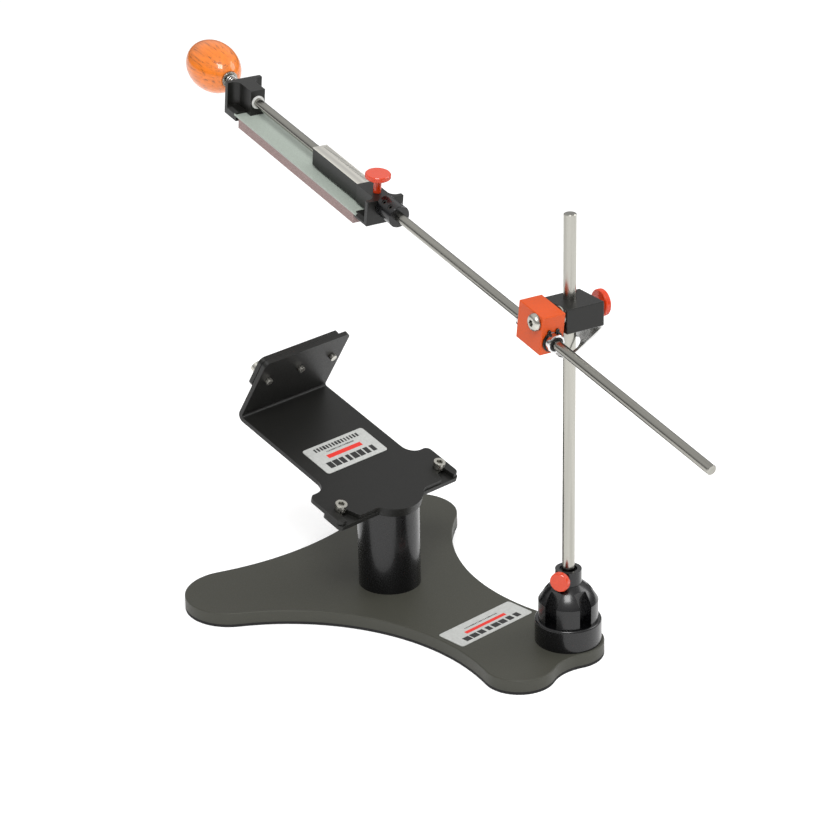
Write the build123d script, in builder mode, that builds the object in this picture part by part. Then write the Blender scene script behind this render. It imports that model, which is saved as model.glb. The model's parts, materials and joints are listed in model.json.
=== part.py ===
from build123d import *
import math
import os

os.makedirs("parts", exist_ok=True)

# Rod-guided honing guide with a scissor bracket. Millimetres, +Z up.
# The origin is on the column's axis, on the surface that the rubber foot sheet stands on.
# +Y runs from the column towards the scissor bracket's jaw, and the post stands at -Y, +X.

# ---- Driving dimensions ---------------------------------------------------------------

# Fits
running = 0.05             # radial gap round anything that turns or slides
seat_gap = 0.1             # gap between flat faces that move past each other
thread_gap = 0.05          # radial gap between a screw and its tapped hole

# Foot sheet and base plate
foot_thickness = 2.5
base_thickness = 10.0
base_edge = 0.6            # small chamfer round the plate
rear_lobe_x, rear_lobe_y = 104.5, 80.5
rear_lobe_radius = 39.5
front_lobe_x, front_lobe_y = 28.4, -176.1
front_lobe_radius = 29.0
side_waist_radius = 181.0
rear_waist_radius = 230.0
front_valley_radius = 40.0

# Column and the sloping flange on it
column_radius = 26.0
slope = 17.4               # degrees that the bracket rises away from the post
bracket_height = 99.8      # bracket's top face above the floor, on the column's axis
sheet = 4.0                # bracket's sheet thickness
flange_thickness = 4.0
nose_radius = 30.3         # round nose shared by the flange and the bracket
ear_reach = 67.5           # half width across the ears
flange_front, flange_rear = -18.0, 5.0
flange_corner = 4.0

# Scissor bracket, in its own plane: V across, U up the slope
arm_half_width = 47.5
ear_front, ear_rear = -17.0, 22.5
ear_corner = 5.0
arm_blend = 12.0           # inside radius between arm and ear
nose_blend = 10.0          # inside radius between nose and front edge
bracket_bend = 132.2       # distance up the slope to the bend
bend_radius = 2.0          # inside radius of the bend
upright_height = 67.0
upright_lean = 14.3        # degrees that the upright leans back over the arm
upright_corner = 5.0
slot_radius = 3.3
slot_mouth_inner, slot_mouth_outer = 46.0, 61.2
bracket_screw_u, bracket_screw_v = -3.0, 56.0

# Blade clamp on the upright
clamp_gap = 3.0            # room for a blade between upright and clamp bar
clamp_bar_thickness = 4.0
clamp_bar_half_width = 44.0
clamp_bar_bottom, clamp_bar_top = 29.0, 62.0
clamp_screw_height = 43.0
clamp_screw_pitch = 36.0
clamp_screw_stickout = 3.5

# Labels
label_thickness = 0.5
base_label_width, base_label_depth = 81.4, 27.9
base_label_y = -112.0
bracket_label_width, bracket_label_depth = 68.0, 34.0
bracket_label_u = 53.2
label_corner = 2.5

# Post and its cup, heights above the base plate's top
post_radius = 5.0
post_top = 359.2
post_bottom = 9.2
post_edge = 0.6
cup_ring_radius, cup_ring_height = 26.8, 19.5
cup_ring_edge = 1.8
cup_body_radius = 24.0
cup_shoulder = 36.0
cup_dome_middle = (17.0, 46.1)     # radius and height halfway up the dome
cup_dome_top = (10.9, 50.8)        # radius and height where the dome meets the collar
cup_collar_radius, cup_collar_top = 10.6, 62.7
cup_mouth_radius, cup_mouth_depth = 7.1, 3.0
pocket_count = 5
pocket_width = 11.0
pocket_inner_radius = 15.4
pocket_floor = 17.0
front_rib_angle = -137.5   # direction of one rib between two pockets
cup_screw_angle = -162.0   # direction of the cup's thumbscrew
cup_thumb_height = 57.6
cup_thumb_neck = 2.6

# Swivel block on the post
swivel_angle = -13.0       # direction of the block's long axis
block_bottom = 284.2       # above the floor
block_height = 19.7
block_left, block_right = 16.3, 17.8      # from the post's axis to the two ends
block_front, block_rear = 20.3, 12.65
block_edge = 0.5
tilt_axis_front, tilt_axis_height = 11.2, 12.3  # tilt bolt, from the post and block's underside
bolt_depth = 12.3          # thread of the tilt bolt inside the block
swivel_thumb_neck = 8.7

# Spring clip under the block
clip_thickness = 1.5
clip_width = 25.0
clip_left, clip_bend = 13.0, 18.0         # upper leg's end and the bend's centre, from the post
clip_leg_angle = 32.0      # degrees that the lower leg falls
clip_bend_radius = 3.0     # to the middle of the strip
clip_corner = 3.0
clip_hole_radius = 9.5

# Rod housing and its linear bearing
housing_length, housing_height, housing_thickness = 32.7, 32.0, 20.5
housing_edge = 0.5
housing_middle = 1.7       # housing's middle, along the rod
rod_below_centre = 5.3     # rod's axis below the housing's middle
washer_thickness = 1.4
washer_radius = 8.0
rod_tilt = 8.75            # degrees that the rod rises towards the stone
bolt_ahead, bolt_above = 9.17, 14.04      # tilt axis from the rod's axis
rod_radius = 4.0
bearing_radius = 7.5
bearing_length = 45.0
bearing_wall = 1.5
seal_thickness = 2.0
sleeve_edge = 0.4
circlip_thickness = 1.0
circlip_groove = 0.35
circlip_radius = 8.8
circlip_lug_reach, circlip_lug_radius, circlip_hole_radius = 9.2, 1.6, 0.7
circlip_gap = 5.0          # opening between the two lugs
lug_angle = 24.0           # half angle between the two lugs

# Guide rod: distances along it from the point beside the post, + towards the free end
rod_free_end = 219.1
rod_edge = 0.5
collar_near, jaw_face = -204.8, -227.6
collar_radius = 9.5
collar_edge = 0.6
set_screw_stations = (-211.0, -220.5)
set_screw_side, set_screw_up = -0.6, 0.8
set_screw_radius, set_screw_across_flats = 2.5, 2.5
set_screw_recess = 0.4

# Stone holder: across the rod (C) and up from its axis (M)
jaw_half_width = 17.0
near_flange, far_flange = 4.0, 4.5
near_jaw_length, far_jaw_length = 20.4, 20.9    # flange's outer face to the foot's tip
near_body_length, far_body_length = 33.3, 28.9  # flange's outer face to the body's end
near_body_half_width, far_body_half_width = 7.75, 6.9
jaw_blend = 6.5
near_jaw_top, near_jaw_bottom = 6.0, -15.6
far_jaw_top, far_jaw_bottom = 11.1, -18.6
near_foot_top, far_foot_top = -11.2, -10.0
jaw_foot_chamfer = 2.5
far_body_bottom = -11.8
bar_half_width = 6.6
bar_bottom = -10.0
bar_end = -336.5
gauge_plate_thickness = 0.8
holder_screw_station = -241.5
holder_thumb_neck = 12.9
stone_length, stone_width, stone_thickness = 200.0, 34.5, 8.5
stone_near_gap, stone_far_gap = 0.6, 5.7        # bare blank between the stone and each foot
blank_thickness = 1.6
blank_top = -12.2
blank_lip = 2.8            # length of each blank end that sits in a jaw's groove
bush_radius, bush_flange_radius, bush_flange = 5.5, 6.0, 1.0

# Spring and knob
spring_length = 22.8       # from the far jaw to the knob's ferrule
spring_gap = 0.15          # between the rod and the inside of the coil
spring_wire = 0.6          # wire's radius
spring_pitch = 3.0
ferrule_radius, ferrule_depth = 6.0, 20.5
ferrule_flange_radius, ferrule_flange = 7.4, 1.5
knob_length = 62.0
knob_radius = 22.5
knob_neck_radius = 8.0

# Screws: shank radius, head radius, head height, hexagon socket across flats
m6_cap = (3.0, 5.0, 6.0, 5.0)
m6_countersunk = (3.0, 6.0, 3.3, 4.0)
m5_countersunk = (2.5, 5.0, 2.8, 3.0)
m8_button = (4.0, 7.0, 4.4, 5.0)
button_dome = 3.4
column_screw_length, cup_screw_length, flange_screw_length = 28.0, 22.0, 20.0
column_screw_circle, cup_screw_circle, flange_screw_offset = 16.0, 11.5, 16.0

# Thumbscrews: shank radius, neck radius, disc radius, disc height
cup_thumb = (2.5, 3.0, 7.8, 5.0)
swivel_thumb = (3.0, 3.35, 10.5, 5.0)
holder_thumb = (3.0, 3.35, 10.5, 4.3)
thumb_edge = 0.5

# ---- Frames ----------------------------------------------------------------------------

UP = Vector(0, 0, 1)
ABOVE = (Align.CENTER, Align.CENTER, Align.MIN)
BELOW = (Align.CENTER, Align.CENTER, Align.MAX)
base_top = foot_thickness + base_thickness

# Sloping bracket plane: local X is across (V), local Y is up the slope (U)
slope_sin, slope_cos = math.sin(math.radians(slope)), math.cos(math.radians(slope))
slope_up = Vector(0, slope_cos, slope_sin)
slope_normal = Vector(0, -slope_sin, slope_cos)
bracket_plane = Plane(origin=(0, 0, bracket_height), x_dir=(1, 0, 0), z_dir=slope_normal)

# Upright plane: its face towards the column, local Y up the upright, Z towards the column
lean_sin, lean_cos = math.sin(math.radians(upright_lean)), math.cos(math.radians(upright_lean))
upright_up = slope_normal * lean_cos - slope_up * lean_sin
upright_out = slope_up * lean_cos + slope_normal * lean_sin
bend_point = bracket_plane.from_local_coords((0, bracket_bend, 0))
upright_plane = Plane(origin=bend_point, x_dir=(1, 0, 0), z_dir=-upright_out)

# Swivel block: SIDE along the block, away from the rod; FRONT towards the rod's free end
post_foot = Vector(front_lobe_x, front_lobe_y, 0)
side = Vector(1, 0, 0).rotate(Axis.Z, swivel_angle)
front = side.rotate(Axis.Z, -90)


def block_point(along, ahead, height):
    """A point in the swivel block's frame, with height above the floor."""
    return post_foot + side * along + front * ahead + UP * height


def block_plan(height):
    """Horizontal plane with X along the block and Y towards its rear."""
    return Plane(origin=block_point(0, 0, height), x_dir=side, z_dir=UP)


# Guide rod: ROD_DIR towards the free end, ROD_UP square to it
tilt_sin, tilt_cos = math.sin(math.radians(rod_tilt)), math.cos(math.radians(rod_tilt))
rod_dir = front * tilt_cos - UP * tilt_sin
rod_up = front * tilt_sin + UP * tilt_cos
housing_gap = washer_thickness + seat_gap
rod_offset = block_left + housing_gap + housing_thickness / 2
tilt_point = block_point(-block_left, tilt_axis_front, block_bottom + tilt_axis_height)
rod_origin = (tilt_point - side * (rod_offset - block_left)
              - rod_dir * bolt_ahead - rod_up * bolt_above)


def rod_point(station, across=0.0, above=0.0):
    """A point by its distance along the rod, across it and above its axis."""
    return rod_origin + rod_dir * station + side * across + rod_up * above


def rod_section(station):
    """Plane square to the rod, X across and Y up, Z towards the free end."""
    return Plane(origin=rod_point(station), x_dir=side, z_dir=rod_dir)


def rod_plan(above):
    """Plane over the rod, X along it and Y across."""
    return Plane(origin=rod_point(0, 0, above), x_dir=rod_dir, z_dir=rod_up)


def rod_side(across):
    """Plane beside the rod, X along it and Y up, Z away from the post."""
    return Plane(origin=rod_point(0, across), x_dir=rod_dir, z_dir=-side)


# ---- Shared shapes ---------------------------------------------------------------------


def tangent_loop(circles):
    """Arcs round a closed chain of circles, each of which touches the next."""
    before = circles[-1:] + circles[:-1]
    after = circles[1:] + circles[:1]
    for (centre_a, _), (centre, radius), (centre_b, _) in zip(before, circles, after):
        start = (centre_a - centre).normalized()
        end = (centre_b - centre).normalized()
        middle = (start + end).normalized()
        ThreePointArc(centre + start * radius, centre + middle * radius, centre + end * radius)


def waist(centre, radius, other, other_radius, waist_radius, turn):
    """Centre of an arc that touches two circles from outside, on the side given by turn."""
    reach_a, reach_b = waist_radius + radius, waist_radius + other_radius
    line = other - centre
    along = (reach_a**2 - reach_b**2 + line.length**2) / (2 * line.length)
    off = math.sqrt(reach_a**2 - along**2)
    axis = line.normalized()
    return centre + axis * along + axis.rotate(Axis.Z, 90 * turn) * off


def cap_screw(seat, length, sizes, socket_depth=2.0):
    """Socket cap screw whose head stands on the seat plane."""
    shank, head, height, across_flats = sizes
    with Locations(seat):
        Cylinder(head, height, align=ABOVE)
        Cylinder(shank, length, align=BELOW)
    with BuildSketch(seat.offset(height)) as socket:
        RegularPolygon(across_flats / math.sqrt(3), 6)
    extrude(socket.sketch, amount=-socket_depth, mode=Mode.SUBTRACT)


def countersunk_screw(seat, length, sizes, socket_depth=1.5):
    """Countersunk screw whose head is flush with the seat plane."""
    shank, head, height, across_flats = sizes
    with Locations(seat):
        Cone(shank, head, height, align=BELOW)
        Cylinder(shank, length, align=BELOW)
    with BuildSketch(seat) as socket:
        RegularPolygon(across_flats / math.sqrt(3), 6)
    extrude(socket.sketch, amount=-socket_depth, mode=Mode.SUBTRACT)


def countersunk_hole(seat, depth, sizes):
    """Hole for a countersunk screw, flush with the seat plane."""
    shank, head, height, _ = sizes
    with Locations(seat):
        Cone(shank + thread_gap, head + thread_gap, height, align=BELOW, mode=Mode.SUBTRACT)
        Cylinder(shank + thread_gap, depth, align=BELOW, mode=Mode.SUBTRACT)


def thumb_screw(seat, neck, depth, sizes):
    """Thumbscrew whose round disc stands a neck's length off the seat plane."""
    shank, neck_radius, disc, height = sizes
    with Locations(seat.offset(neck)):
        Cone(disc - thumb_edge, disc, thumb_edge, align=ABOVE)
    with Locations(seat.offset(neck + thumb_edge)):
        Cylinder(disc, height - 2 * thumb_edge, align=ABOVE)
    with Locations(seat.offset(neck + height - thumb_edge)):
        Cone(disc, disc - thumb_edge, thumb_edge, align=ABOVE)
    with Locations(seat.offset(neck)):
        Cylinder(neck_radius, neck - seat_gap, align=BELOW)
        Cylinder(shank, neck + depth, align=BELOW)


# ---- Foot sheet and base plate -------------------------------------------------------------

rear_right = Vector(rear_lobe_x, rear_lobe_y)
rear_left = Vector(-rear_lobe_x, rear_lobe_y)
front_right = Vector(front_lobe_x, front_lobe_y)
front_left = Vector(-front_lobe_x, front_lobe_y)
base_circles = [
    (rear_right, rear_lobe_radius),
    (waist(rear_right, rear_lobe_radius, rear_left, rear_lobe_radius, rear_waist_radius, -1),
     rear_waist_radius),
    (rear_left, rear_lobe_radius),
    (waist(rear_left, rear_lobe_radius, front_left, front_lobe_radius, side_waist_radius, -1),
     side_waist_radius),
    (front_left, front_lobe_radius),
    (waist(front_left, front_lobe_radius, front_right, front_lobe_radius, front_valley_radius, -1),
     front_valley_radius),
    (front_right, front_lobe_radius),
    (waist(front_right, front_lobe_radius, rear_right, rear_lobe_radius, side_waist_radius, -1),
     side_waist_radius),
]

with BuildPart() as foot_sheet:
    with BuildSketch():
        with BuildLine():
            tangent_loop(base_circles)
        make_face()
    extrude(amount=foot_thickness)
foot_sheet.part.label = "foot_sheet"
export_step(foot_sheet.part, "parts/foot_sheet.step")

column_seats = [
    Plane(origin=(column_screw_circle * math.cos(angle), column_screw_circle * math.sin(angle),
                  foot_thickness), z_dir=-UP)
    for angle in (math.radians(30 + 120 * turn) for turn in range(3))
]
cup_seats = [
    Plane(origin=(front_lobe_x + cup_screw_circle * math.cos(angle),
                  front_lobe_y + cup_screw_circle * math.sin(angle), foot_thickness), z_dir=-UP)
    for angle in (math.radians(120 * turn) for turn in range(3))
]

with BuildPart() as base_plate:
    with BuildSketch(Plane.XY.offset(foot_thickness)):
        with BuildLine():
            tangent_loop(base_circles)
        make_face()
    extrude(amount=base_thickness)
    chamfer(base_plate.faces().sort_by(Axis.Z)[-1].edges(), base_edge)
    for seat in column_seats:
        countersunk_hole(seat, base_thickness, m6_countersunk)
    for seat in cup_seats:
        countersunk_hole(seat, base_thickness, m5_countersunk)
base_plate.part.label = "base_plate"
export_step(base_plate.part, "parts/base_plate.step")

with BuildPart() as base_label:
    with BuildSketch(Plane.XY.offset(base_top)):
        with Locations((0, base_label_y)):
            RectangleRounded(base_label_width, base_label_depth, label_corner)
    extrude(amount=label_thickness)
base_label.part.label = "base_label"
export_step(base_label.part, "parts/base_label.step")

# ---- Column, flange and their screws ------------------------------------------------------

flange_seats = [
    Plane(origin=bracket_plane.from_local_coords((across, 0, -sheet)), z_dir=slope_normal)
    for across in (-flange_screw_offset, flange_screw_offset)
]

with BuildPart() as column:
    with BuildSketch(Plane.XY.offset(base_top)):
        Circle(column_radius)
    extrude(amount=bracket_height)
    split(bisect_by=bracket_plane.offset(-sheet - flange_thickness), keep=Keep.BOTTOM)
    for seat in column_seats:
        with Locations(seat):
            Cylinder(m6_countersunk[0] + thread_gap, column_screw_length + seat_gap, align=BELOW,
                     mode=Mode.SUBTRACT)
    for seat in flange_seats:
        with Locations(seat):
            Cylinder(m5_countersunk[0] + thread_gap, flange_screw_length + seat_gap, align=BELOW,
                     mode=Mode.SUBTRACT)
column.part.label = "column"
export_step(column.part, "parts/column.step")

with BuildPart() as column_screws:
    for seat in column_seats:
        countersunk_screw(seat, column_screw_length, m6_countersunk)
column_screws.part.label = "column_screws"
export_step(column_screws.part, "parts/column_screws.step")

with BuildPart() as column_flange:
    with BuildSketch(bracket_plane.offset(-sheet - flange_thickness)):
        with Locations((0, (flange_front + flange_rear) / 2)):
            RectangleRounded(2 * ear_reach, flange_rear - flange_front, flange_corner)
        Circle(nose_radius)
    extrude(amount=flange_thickness)
    for seat in flange_seats:
        countersunk_hole(seat, flange_thickness, m5_countersunk)
    with BuildSketch(bracket_plane.offset(-sheet)):
        with Locations((-bracket_screw_v, bracket_screw_u), (bracket_screw_v, bracket_screw_u)):
            Circle(m6_cap[0] + thread_gap)
    extrude(amount=-flange_thickness, mode=Mode.SUBTRACT)
column_flange.part.label = "column_flange"
export_step(column_flange.part, "parts/column_flange.step")

with BuildPart() as flange_screws:
    for seat in flange_seats:
        countersunk_screw(seat, flange_screw_length, m5_countersunk)
flange_screws.part.label = "flange_screws"
export_step(flange_screws.part, "parts/flange_screws.step")

# ---- Scissor bracket ------------------------------------------------------------------------

# Side profile of the bent sheet, X up the slope and Y along the bracket's normal
profile_plane = Plane(origin=(0, 0, bracket_height), x_dir=slope_up, z_dir=(1, 0, 0))
inner_corner = Vector(bracket_bend, 0)
lean_along = Vector(-lean_sin, lean_cos)
lean_out = Vector(lean_cos, lean_sin)
corner_offset = (Vector(0, -1) + lean_out) * (sheet / (1 - lean_sin))
profile_start = ear_front - nose_radius
upright_tip = inner_corner + lean_along * upright_height
bracket_screw_places = [(-bracket_screw_v, bracket_screw_u), (bracket_screw_v, bracket_screw_u)]

with BuildPart() as bracket:
    with BuildSketch(profile_plane) as bent_profile:
        with BuildLine():
            Polyline((profile_start, 0), inner_corner, upright_tip, upright_tip + lean_out * sheet,
                     inner_corner + corner_offset, (profile_start, -sheet), close=True)
        make_face()
        corners = bent_profile.vertices()
        fillet(corners.sort_by_distance(inner_corner)[0], bend_radius)
        corners = bent_profile.vertices()
        fillet(corners.sort_by_distance(inner_corner + corner_offset)[0], bend_radius + sheet)
    extrude(amount=ear_reach, both=True)
    with BuildSketch(bracket_plane.offset(-2 * sheet)) as plan:
        with Locations((0, (ear_front + ear_rear) / 2)):
            Rectangle(2 * ear_reach, ear_rear - ear_front)
        with Locations((0, bracket_bend / 2 + sheet)):
            Rectangle(2 * arm_half_width, bracket_bend + 2 * sheet)
        Circle(nose_radius)
        fillet(plan.vertices().filter_by(lambda v: abs(v.X) > ear_reach - 1), ear_corner)
        arm_corners = plan.vertices().filter_by(
            lambda v: abs(v.Y - ear_rear) < 0.1 and abs(abs(v.X) - arm_half_width) < 0.1)
        fillet(arm_corners, arm_blend)
        nose_corners = plan.vertices().filter_by(
            lambda v: abs(v.Y - ear_front) < 0.1 and abs(v.X) < nose_radius)
        fillet(nose_corners, nose_blend)
        for mirror_side in (-1, 1):
            with BuildLine():
                Polyline(
                    (mirror_side * slot_mouth_inner, ear_front - 1),
                    (mirror_side * (bracket_screw_v - slot_radius), bracket_screw_u),
                    (mirror_side * (bracket_screw_v + slot_radius), bracket_screw_u),
                    (mirror_side * slot_mouth_outer, ear_front - 1), close=True)
            make_face(mode=Mode.SUBTRACT)
        with Locations(bracket_screw_places):
            Circle(slot_radius, mode=Mode.SUBTRACT)
    extrude(amount=upright_height + 3 * sheet, mode=Mode.INTERSECT)
    top_corners = bracket.edges().filter_by(Axis((0, 0, 0), upright_out))
    fillet(top_corners.group_by(Axis(bend_point, upright_up))[-1],
           upright_corner)
    with BuildSketch(upright_plane):
        with Locations((0, clamp_screw_height)):
            with GridLocations(clamp_screw_pitch, 0, 3, 1):
                Circle(m6_cap[0] + thread_gap)
    extrude(amount=-sheet, mode=Mode.SUBTRACT)
bracket.part.label = "bracket"
export_step(bracket.part, "parts/bracket.step")

with BuildPart() as bracket_screws:
    for place in bracket_screw_places:
        seat = Plane(origin=bracket_plane.from_local_coords((*place, 0)), z_dir=slope_normal)
        cap_screw(seat, sheet + flange_thickness, m6_cap)
bracket_screws.part.label = "bracket_screws"
export_step(bracket_screws.part, "parts/bracket_screws.step")

with BuildPart() as bracket_label:
    with BuildSketch(bracket_plane):
        with Locations((0, bracket_label_u)):
            RectangleRounded(bracket_label_width, bracket_label_depth, label_corner)
    extrude(amount=label_thickness)
bracket_label.part.label = "bracket_label"
export_step(bracket_label.part, "parts/bracket_label.step")

# ---- Blade clamp ------------------------------------------------------------------------------

bar_face = upright_plane.offset(-sheet - clamp_gap)
bar_middle = (clamp_bar_bottom + clamp_bar_top) / 2

with BuildPart() as clamp_bar:
    with BuildSketch(bar_face):
        with Locations((0, bar_middle)):
            RectangleRounded(2 * clamp_bar_half_width, clamp_bar_top - clamp_bar_bottom,
                             upright_corner)
        with Locations((0, clamp_screw_height)):
            with GridLocations(clamp_screw_pitch, 0, 3, 1):
                Circle(m6_cap[0] + running, mode=Mode.SUBTRACT)
    extrude(amount=-clamp_bar_thickness)
clamp_bar.part.label = "clamp_bar"
export_step(clamp_bar.part, "parts/clamp_bar.step")

clamp_stack = clamp_bar_thickness + clamp_gap + sheet + clamp_screw_stickout
for index, name in enumerate(("clamp_screw_left", "clamp_screw_middle", "clamp_screw_right")):
    across = (index - 1) * clamp_screw_pitch
    head_seat = Plane(
        origin=upright_plane.from_local_coords(
            (across, clamp_screw_height, -sheet - clamp_gap - clamp_bar_thickness)),
        x_dir=(1, 0, 0), z_dir=upright_out)
    with BuildPart() as clamp_screw:
        cap_screw(head_seat.offset(seat_gap), clamp_stack + seat_gap, m6_cap)
    clamp_screw.part.label = name
    export_step(clamp_screw.part, f"parts/{name}.step")

# ---- Post, cup and cup thumbscrew -------------------------------------------------------------

cup_axis_plane = Plane(origin=(front_lobe_x, front_lobe_y, base_top), x_dir=(1, 0, 0),
                       z_dir=(0, -1, 0))
cup_axis = Axis((front_lobe_x, front_lobe_y, 0), (0, 0, 1))
cup_thumb_dir = Vector(1, 0, 0).rotate(Axis.Z, cup_screw_angle)
cup_thumb_seat = Plane(origin=post_foot + cup_thumb_dir * cup_collar_radius
                       + UP * (base_top + cup_thumb_height), z_dir=cup_thumb_dir)

with BuildPart() as post_cup:
    with BuildSketch(cup_axis_plane) as cup_profile:
        with BuildLine():
            Polyline(cup_dome_top, (cup_collar_radius, cup_dome_top[1]),
                     (cup_collar_radius, cup_collar_top), (0, cup_collar_top), (0, 0),
                     (cup_ring_radius, 0), (cup_ring_radius, cup_ring_height),
                     (cup_body_radius, cup_ring_height), (cup_body_radius, cup_shoulder))
            ThreePointArc((cup_body_radius, cup_shoulder), cup_dome_middle, cup_dome_top)
        make_face()
        ring_corner = cup_profile.vertices().sort_by_distance((cup_ring_radius, cup_ring_height))[0]
        fillet(ring_corner, cup_ring_edge)
    revolve(axis=cup_axis)
    with BuildSketch(Plane(origin=(front_lobe_x, front_lobe_y, base_top + pocket_floor))):
        with PolarLocations((pocket_inner_radius + cup_body_radius) / 2 + 2, pocket_count,
                            start_angle=front_rib_angle + 180 / pocket_count):
            Rectangle(cup_body_radius - pocket_inner_radius + 4, pocket_width)
        Circle(cup_body_radius, mode=Mode.INTERSECT)
    extrude(amount=cup_collar_top - pocket_floor, mode=Mode.SUBTRACT)
    with Locations(Plane(origin=(front_lobe_x, front_lobe_y, base_top + cup_collar_top))):
        Cylinder(post_radius + running, cup_collar_top - post_bottom, align=BELOW,
                 mode=Mode.SUBTRACT)
        Cylinder(cup_mouth_radius, cup_mouth_depth, align=BELOW, mode=Mode.SUBTRACT)
    with Locations(cup_thumb_seat):
        Cylinder(cup_thumb[0] + thread_gap, cup_collar_radius, align=BELOW, mode=Mode.SUBTRACT)
    for seat in cup_seats:
        with Locations(seat):
            Cylinder(m5_countersunk[0] + thread_gap, cup_screw_length + seat_gap, align=BELOW,
                     mode=Mode.SUBTRACT)
post_cup.part.label = "post_cup"
export_step(post_cup.part, "parts/post_cup.step")

with BuildPart() as cup_screws:
    for seat in cup_seats:
        countersunk_screw(seat, cup_screw_length, m5_countersunk)
cup_screws.part.label = "cup_screws"
export_step(cup_screws.part, "parts/cup_screws.step")

with BuildPart() as post:
    with BuildSketch(Plane(origin=(front_lobe_x, front_lobe_y, base_top + post_bottom))):
        Circle(post_radius)
    extrude(amount=post_top - post_bottom)
    chamfer(post.edges().group_by(Axis.Z)[-1], post_edge)
post.part.label = "post"
export_step(post.part, "parts/post.step")

with BuildPart() as cup_thumbscrew:
    thumb_screw(cup_thumb_seat, cup_thumb_neck, cup_collar_radius - post_radius - seat_gap,
                cup_thumb)
cup_thumbscrew.part.label = "cup_thumbscrew"
export_step(cup_thumbscrew.part, "parts/cup_thumbscrew.step")

# ---- Spring clip ---------------------------------------------------------------------------------

clip_top = block_bottom - seat_gap
clip_side_plane = Plane(origin=block_point(0, 0, clip_top), x_dir=side, z_dir=front)
leg_sin, leg_cos = math.sin(math.radians(clip_leg_angle)), math.cos(math.radians(clip_leg_angle))
leg_fall, leg_inward = Vector(-leg_cos, -leg_sin), Vector(-leg_sin, leg_cos)
bend_outer = clip_bend_radius + clip_thickness / 2
bend_inner = clip_bend_radius - clip_thickness / 2
bend_centre = Vector(clip_bend, -bend_outer)
leg_outer_start = bend_centre - leg_inward * bend_outer
leg_inner_start = bend_centre - leg_inward * bend_inner
leg_middle_start = bend_centre - leg_inward * clip_bend_radius
leg_to_post = leg_middle_start.X / leg_cos
leg_centre = leg_middle_start + leg_fall * leg_to_post
leg_length = leg_to_post + clip_width / 2
leg_plane = Plane(origin=block_point(0, 0, clip_top + leg_centre.Y),
                  x_dir=side * -leg_cos - UP * leg_sin, z_dir=UP * leg_cos - side * leg_sin)

with BuildPart() as spring_clip:
    with BuildSketch(clip_side_plane):
        with BuildLine():
            Line((-clip_left, 0), (clip_bend, 0))
            ThreePointArc((clip_bend, 0), bend_centre + Vector(bend_outer, 0), leg_outer_start)
            Polyline(leg_outer_start, leg_outer_start + leg_fall * leg_length,
                     leg_inner_start + leg_fall * leg_length, leg_inner_start)
            ThreePointArc(leg_inner_start, bend_centre + Vector(bend_inner, 0),
                          (clip_bend, -clip_thickness))
            Polyline((clip_bend, -clip_thickness), (-clip_left, -clip_thickness), (-clip_left, 0))
        make_face()
    extrude(amount=clip_width / 2, both=True)
    end_corners = spring_clip.edges().filter_by(Axis.Z)
    fillet(end_corners, clip_corner)
    with BuildSketch(block_plan(clip_top)):
        Circle(post_radius + running)
    extrude(amount=-clip_thickness, mode=Mode.SUBTRACT)
    with BuildSketch(leg_plane):
        with Locations((clip_width / 2, 0)):
            Rectangle(clip_width, 2 * clip_width)
        Circle(clip_width / 2, mode=Mode.SUBTRACT)
        Circle(clip_hole_radius)
    extrude(amount=clip_thickness, both=True, mode=Mode.SUBTRACT)
spring_clip.part.label = "spring_clip"
export_step(spring_clip.part, "parts/spring_clip.step")

# ---- Swivel block, tilt bolt and thumbscrew --------------------------------------------------------

block_middle = block_bottom + block_height / 2
tilt_seat = Plane(origin=tilt_point, x_dir=front, z_dir=-side)
swivel_thumb_seat = Plane(origin=block_point(block_right, 0, block_middle), z_dir=side)

with BuildPart() as swivel_block:
    with BuildSketch(block_plan(block_bottom)):
        with Locations(((block_right - block_left) / 2, (block_rear - block_front) / 2)):
            Rectangle(block_left + block_right, block_front + block_rear)
    extrude(amount=block_height)
    chamfer(swivel_block.edges(), block_edge)
    with Locations(block_plan(block_bottom)):
        Cylinder(post_radius + running, block_height, align=ABOVE, mode=Mode.SUBTRACT)
    with Locations(tilt_seat):
        Cylinder(m8_button[0] + thread_gap, bolt_depth + seat_gap, align=BELOW, mode=Mode.SUBTRACT)
    with Locations(swivel_thumb_seat):
        Cylinder(swivel_thumb[0] + thread_gap, block_right, align=BELOW, mode=Mode.SUBTRACT)
swivel_block.part.label = "swivel_block"
export_step(swivel_block.part, "parts/swivel_block.step")

with BuildPart() as thrust_washer:
    with BuildSketch(tilt_seat):
        Circle(washer_radius)
        Circle(m8_button[0] + running, mode=Mode.SUBTRACT)
    extrude(amount=washer_thickness)
thrust_washer.part.label = "thrust_washer"
export_step(thrust_washer.part, "parts/thrust_washer.step")

bolt_seat = tilt_seat.offset(housing_gap + housing_thickness + seat_gap)
with BuildPart() as tilt_bolt:
    with BuildSketch(bolt_seat):
        Circle(m8_button[1])
    extrude(amount=m8_button[2])
    fillet(tilt_bolt.faces().sort_by(Axis((0, 0, 0), side))[0].edges(), button_dome)
    with Locations(bolt_seat):
        Cylinder(m8_button[0], seat_gap + housing_thickness + housing_gap + bolt_depth, align=BELOW)
    with BuildSketch(bolt_seat.offset(m8_button[2])):
        RegularPolygon(m8_button[3] / math.sqrt(3), 6)
    extrude(amount=-2.0, mode=Mode.SUBTRACT)
tilt_bolt.part.label = "tilt_bolt"
export_step(tilt_bolt.part, "parts/tilt_bolt.step")

with BuildPart() as swivel_thumbscrew:
    thumb_screw(swivel_thumb_seat, swivel_thumb_neck, block_right - post_radius - seat_gap,
                swivel_thumb)
swivel_thumbscrew.part.label = "swivel_thumbscrew"
export_step(swivel_thumbscrew.part, "parts/swivel_thumbscrew.step")

# ---- Rod housing and linear bearing ------------------------------------------------------------------

near_face, far_face = housing_middle - housing_length / 2, housing_middle + housing_length / 2

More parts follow.
